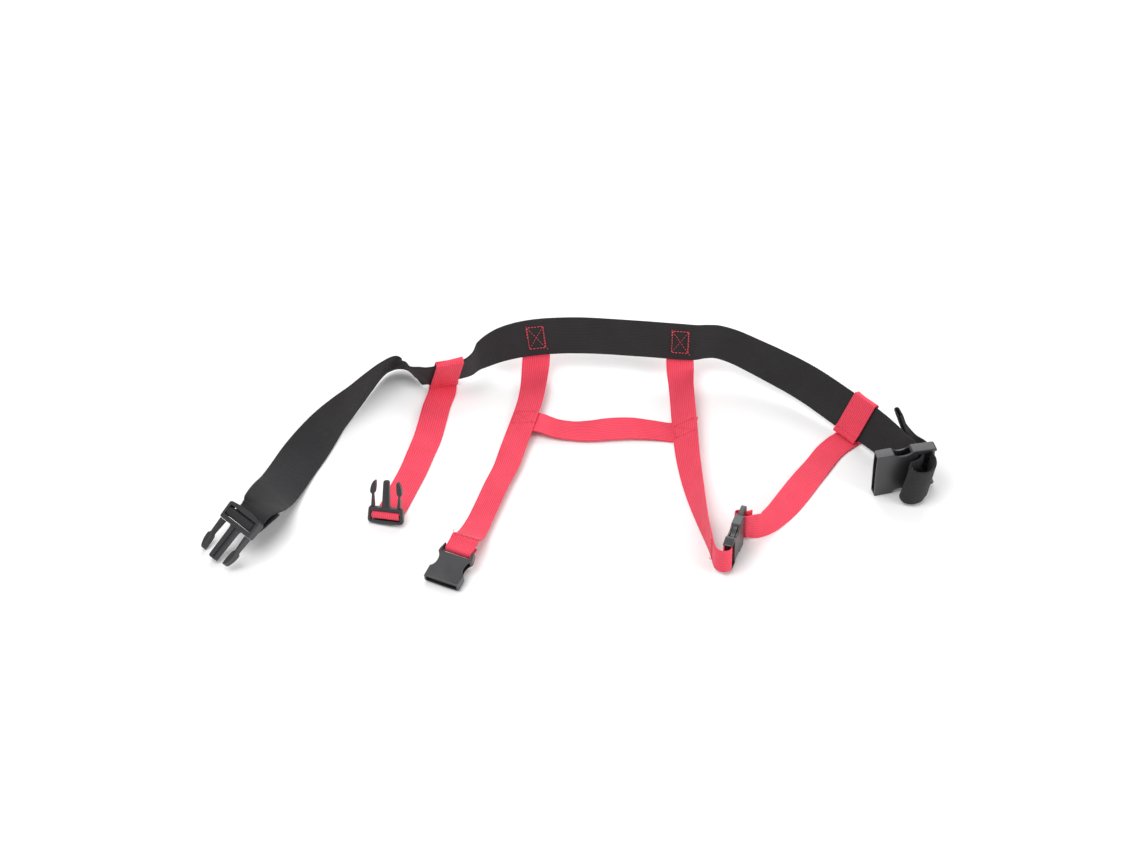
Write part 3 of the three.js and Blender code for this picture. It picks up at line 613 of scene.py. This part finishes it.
for side, route, index in (("left", inner_left, 20), ("right", inner_right, 19)):
    place = frame_at(route, index)
    runs = [((0, -11.5), (0, 11.5), 0.36), ((1.6, -11.5), (1.6, 11.5), 0.3)]
    tails = [[(0, 11.4, 0.2), (-1.5, 13, 0.8), (-3.5, 12.6, 1.4), (-5.2, 14, 0.6)],
             [(1.5, -11.4, 0.2), (-1.0, -12.6, 1.0), (-2.6, -11.6, 1.6)]]
    tails += frayed_fibres(side, 12)
    stitching(f"end_row_stitch_{side}", place, -STRAP["thickness"] / 2, runs, tails, "harness",
              [f"end_stitch_{side}"])


# ---------------------------------------------------------------- the buckles
ROUND_EDGES = {"big": 0.6, "small": 0.45}
WELD_GAP = 0.02
FLAT_ANGLE = radians(4)  # faces that meet at less than this are one flat
SHARP_ANGLE = radians(32)  # edges sharper than this are rounded


def moulded(node, body, round_edges):
    """The node's shape as moulded: its flats rejoined, its edges rounded and shaded smooth."""
    source = frame["nodes"][node]
    piece = bpy.data.objects.new(f"{node}_moulding", source.data.copy())
    bpy.context.scene.collection.objects.link(piece)
    piece.matrix_world = source.matrix_world.copy()
    piece.data.materials.clear()
    piece.data.materials.append(plastic)
    piece.data.polygons.foreach_set("use_smooth", [True] * len(piece.data.polygons))
    weld = piece.modifiers.new("weld", "WELD")
    weld.merge_threshold = WELD_GAP * MM
    flats = piece.modifiers.new("flats", "DECIMATE")
    flats.decimate_type = "DISSOLVE"
    flats.angle_limit = FLAT_ANGLE
    edges = piece.modifiers.new("edges", "BEVEL")
    edges.width = round_edges * MM
    edges.segments = 2
    edges.limit_method = "ANGLE"
    edges.angle_limit = SHARP_ANGLE
    edges.use_clamp_overlap = True
    normals = piece.modifiers.new("normals", "WEIGHTED_NORMAL")
    normals.keep_sharp = True
    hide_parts(node)
    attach(piece, body)


# Male and female halves both have "male" in their nodes' names.
for body, nodes in frame["record"]["behaviour"]["bodies"].items():
    for node in nodes:
        if "male" in node:
            moulded(node, body, ROUND_EDGES["big" if "big" in node else "small"])

# ---------------------------------------------------------------- floor, light and camera
TARGET = Vector((-0.8, 65.5, 0)) * MM
ELEVATION = radians(42)
DISTANCE = 3.6
FLOOR = {"left": -6, "right": 6, "front": -6, "back": 8}  # metres


def floor():
    left, right, front, back = FLOOR["left"], FLOOR["right"], FLOOR["front"], FLOOR["back"]
    verts = [(left, front, 0), (right, front, 0), (right, back, 0), (left, back, 0)]
    mesh = bpy.data.meshes.new("floor")
    mesh.from_pydata(verts, [], [(0, 1, 2, 3)])
    nodes = Nodes("pale_floor")
    nodes.look(base_color=(0.93, 0.93, 0.93, 1), roughness=0.9, specular=0.1)
    mesh.materials.append(nodes.material)
    sheet = bpy.data.objects.new("floor", mesh)
    bpy.context.scene.collection.objects.link(sheet)


def area_light(name, place, size, power):
    """A square light that points at the origin, in metres and watts."""
    light = bpy.data.lights.new(name, "AREA")
    light.shape = "SQUARE"
    light.size = size
    light.energy = power
    lamp = bpy.data.objects.new(name, light)
    lamp.location = place
    lamp.rotation_euler = (Vector((0, 0, 0)) - Vector(place)).to_track_quat("-Z", "Y").to_euler()
    bpy.context.scene.collection.objects.link(lamp)


floor()
area_light("key", (-0.9, -0.7, 2.2), size=1.8, power=40)
area_light("side", (2.1, -0.9, 1.0), size=1.2, power=30)
area_light("back", (0.2, 1.9, 1.5), size=1.8, power=30)

world = bpy.data.worlds.new("studio")
world.use_nodes = True
background = world.node_tree.nodes["Background"]
background.inputs["Color"].default_value = (1, 1, 1, 1)
background.inputs["Strength"].default_value = 0.4
bpy.context.scene.world = world
bpy.context.scene.view_settings.view_transform = "Standard"

camera_data = bpy.data.cameras.new("camera")
camera_data.sensor_width = 36
camera_data.lens = 125
camera_data.clip_end = 50
camera = bpy.data.objects.new("camera", camera_data)
camera.location = TARGET + Vector((0, -cos(ELEVATION), sin(ELEVATION))) * DISTANCE
camera.rotation_euler = (pi / 2 - ELEVATION, 0, 0)
bpy.context.scene.collection.objects.link(camera)
bpy.context.scene.camera = camera
